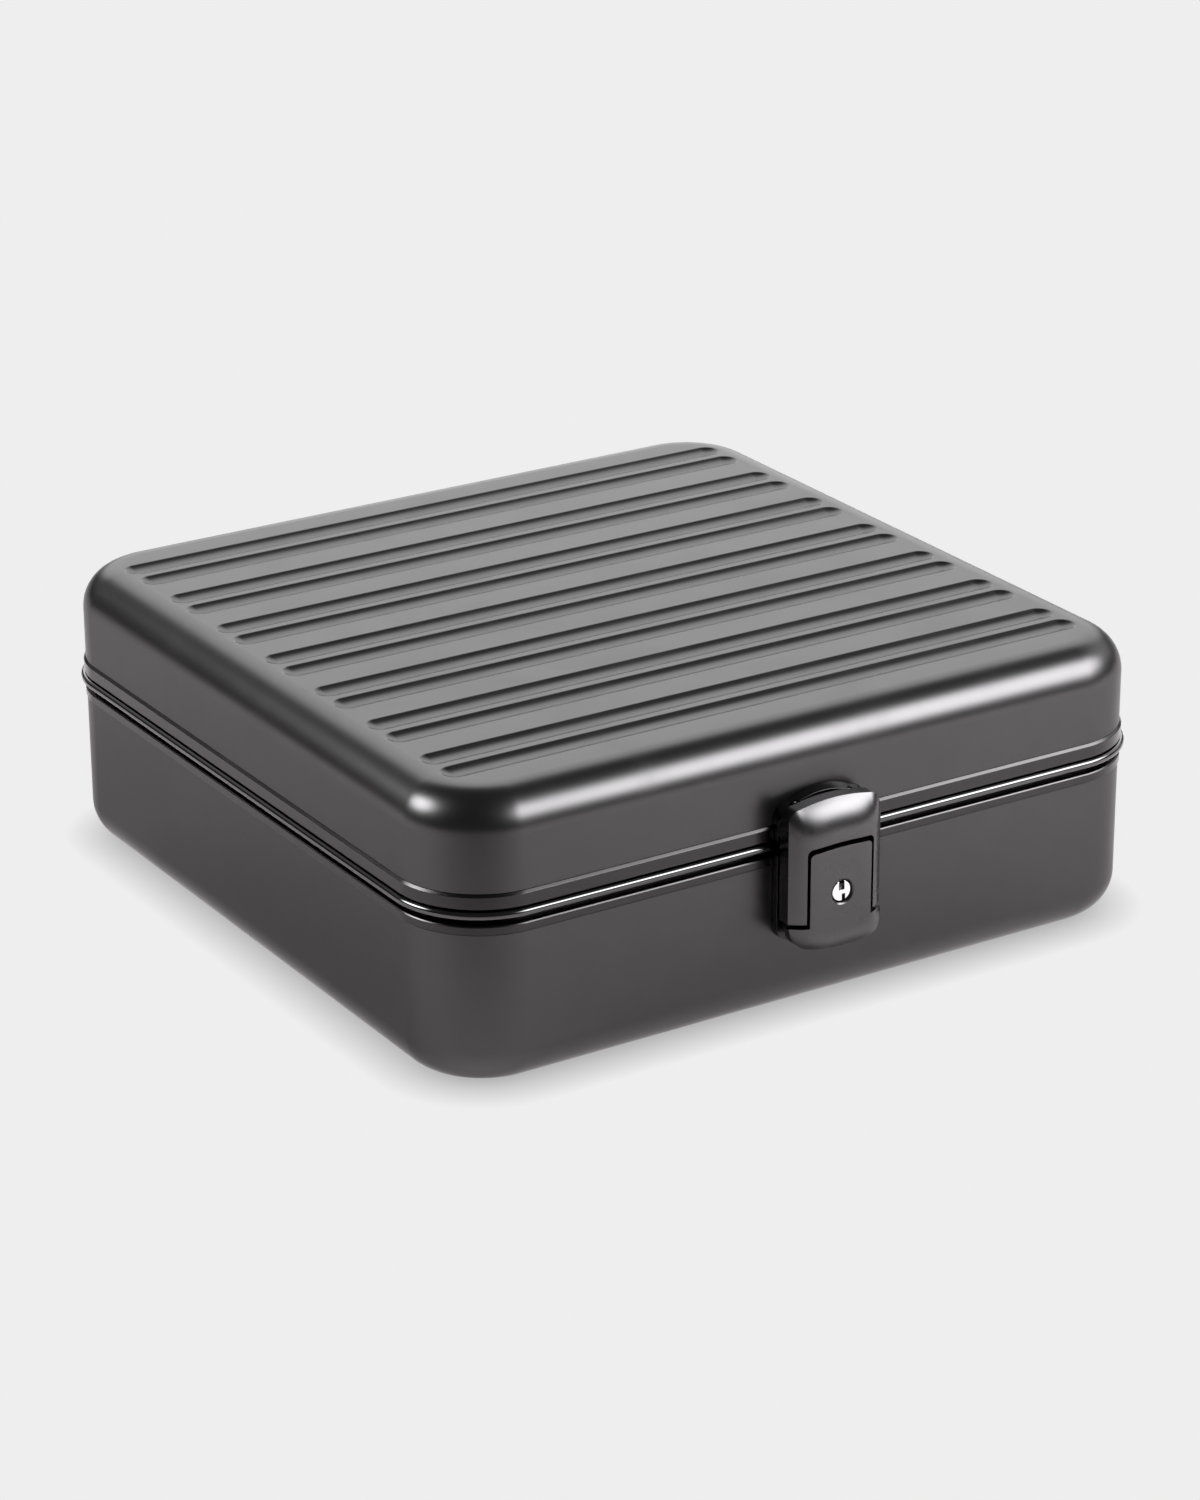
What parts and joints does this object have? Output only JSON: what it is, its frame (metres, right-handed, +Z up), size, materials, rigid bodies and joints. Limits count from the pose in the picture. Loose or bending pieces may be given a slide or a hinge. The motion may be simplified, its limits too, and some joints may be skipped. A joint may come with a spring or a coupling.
{
  "type": "vanity case",
  "caption": "Square lidded vanity case in satin black metal with a grooved lid, front draw latch with key lock, rear hinges and a mirror inside the lid.",
  "frame": {"origin": "centre of the flat underside", "axes": "+Z up, -Y towards the latch at the front, +Y towards the hinges at the back, X along the front"},
  "size_m": [0.2736, 0.2874, 0.098],
  "materials": {
    "shell": "satin black anodised sheet",
    "rim": "satin black anodised extrusion",
    "seal": "gloss black bead",
    "latch": "satin black on pressed steel",
    "lock": "polished",
    "fastener": "turned steel",
    "hinge": "satin black on steel",
    "liner": "flocked black lining",
    "pad": "woven black cover over foam",
    "mirror_frame": "moulded black",
    "mirror": "silvered back"
  },
  "bodies": {
    "base": {"base_shell": "shell", "base_rim": "rim", "rim_seal": "seal", "base_liner": "liner", "base_floor_pad": "pad", "latch_plate": "latch", "latch_plate_rivet_1": "fastener", "latch_plate_rivet_2": "fastener", "latch_plate_rivet_3": "fastener", "latch_plate_rivet_4": "fastener", "lever_pivot_pin": "fastener", "hinge_left_base_leaf": "hinge", "hinge_right_base_leaf": "hinge", "hinge_left_pin": "fastener", "hinge_right_pin": "fastener", "hinge_base_rivet_1": "fastener", "hinge_base_rivet_2": "fastener", "hinge_base_rivet_3": "fastener", "hinge_base_rivet_4": "fastener"},
    "lid": {"lid_shell": "shell", "lid_rim": "rim", "lid_liner": "liner", "mirror_frame": "mirror_frame", "mirror_glass": "mirror", "keeper_plate": "latch", "keeper_rivet_1": "fastener", "keeper_rivet_2": "fastener", "hinge_left_lid_leaf": "hinge", "hinge_right_lid_leaf": "hinge", "hinge_lid_rivet_1": "fastener", "hinge_lid_rivet_2": "fastener", "hinge_lid_rivet_3": "fastener", "hinge_lid_rivet_4": "fastener"},
    "latch_lever": {"latch_lever": "latch", "lock_bezel": "lock", "hasp_pivot_pin_left": "fastener", "hasp_pivot_pin_right": "fastener"},
    "latch_hasp": {"latch_hasp": "latch"},
    "lock_plug": {"lock_plug": "lock", "lock_cam": "fastener"}
  },
  "joints": [
    {"name": "lid_hinge", "type": "hinge", "parent": "base", "child": "lid", "pos_m": [0, 0.1376, 0.0618], "axis": [-1, 0, 0], "range_deg": [0, 105]},
    {"name": "lever_pull", "type": "hinge", "parent": "base", "child": "latch_lever", "pos_m": [0, -0.14, 0.0572], "axis": [-1, 0, 0], "range_deg": [0, 90]},
    {"name": "hasp_swing", "type": "hinge", "parent": "latch_lever", "child": "latch_hasp", "pos_m": [0, -0.14, 0.05], "axis": [-1, 0, 0], "range_deg": [-112.5, 0]},
    {"name": "lock_turn", "type": "hinge", "parent": "latch_lever", "child": "lock_plug", "pos_m": [0, -0.1466, 0.0455], "axis": [0, 1, 0], "range_deg": [0, 90]}
  ],
  "couplings": [
    {"joint": "hasp_swing", "follows": "lever_pull", "ratio": -1.25}
  ]
}
